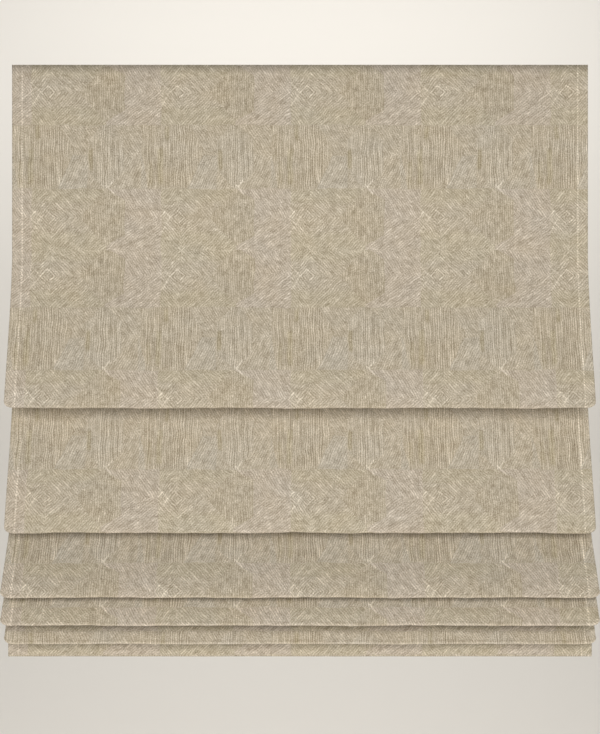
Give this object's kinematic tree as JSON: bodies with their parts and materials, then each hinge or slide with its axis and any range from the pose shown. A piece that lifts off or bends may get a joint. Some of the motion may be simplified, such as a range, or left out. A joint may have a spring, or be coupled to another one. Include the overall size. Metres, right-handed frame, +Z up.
{
  "type": "roman blind",
  "caption": "Lined roman blind of patterned woven cloth on a headrail, partly raised so that its cloth hangs in stepped forward folds above a weighted hem.",
  "frame": {"origin": "middle of the bracket screw pattern, on the ceiling face", "axes": "+X to the right seen from the room, +Y towards the window, +Z up"},
  "size_m": [0.9, 0.1161, 0.9205],
  "materials": {
    "face_fabric": "woven, tonal diamond pattern",
    "lining": "plain woven",
    "tape": "hook and loop",
    "cord": "braided",
    "rail": "satin anodised",
    "bar": "mill finish",
    "steel": "zinc plated",
    "housing": "moulded",
    "clip": "moulded",
    "bar_cap": "moulded",
    "rod": "pultruded glass fibre"
  },
  "bodies": {
    "headrail": {"headrail": "rail", "bracket_left": "steel", "bracket_right": "steel", "end_cap": "housing", "drive_housing": "housing", "drive_cover": "housing", "cover_screws": "steel", "cradle_left": "housing", "cradle_centre": "housing", "cradle_right": "housing", "hook_tape": "tape", "loop_tape": "tape", "face_fabric": "face_fabric", "lining": "lining", "rod_1": "rod", "rod_caps_upper": "clip", "cord_clips_1": "clip", "lift_cord_left": "cord", "lift_cord_centre": "cord", "lift_cord_right": "cord"},
    "fold_stack": {"rod_2": "rod", "rod_3": "rod", "rod_4": "rod", "rod_5": "rod", "rod_6": "rod", "rod_caps_lifted": "clip", "cord_clips_2": "clip", "cord_clips_3": "clip", "cord_clips_4": "clip", "cord_clips_5": "clip", "cord_clips_6": "clip", "cord_stops": "clip", "bottom_bar": "bar", "bottom_bar_caps": "bar_cap"},
    "drive": {"drive_shaft": "steel", "spool_left": "housing", "spool_centre": "housing", "spool_right": "housing", "shaft_bush": "housing", "output_hub": "housing", "chain_wheel": "housing", "wrap_spring": "steel"}
  },
  "joints": [
    {"name": "lift", "type": "slide", "parent": "headrail", "child": "fold_stack", "axis": [0, 0, 1], "range_m": [-0.08, 0.16], "deforming": ["face_fabric", "lining", "lift_cord_left", "lift_cord_centre", "lift_cord_right"]},
    {"name": "drive_turn", "type": "hinge", "parent": "headrail", "child": "drive", "pos_m": [0, 0, -0.0153], "axis": [-1, 0, 0], "range_deg": [-515, 1025]}
  ],
  "couplings": [
    {"joint": "drive_turn", "follows": "lift", "rad_per_m": 111.11}
  ]
}
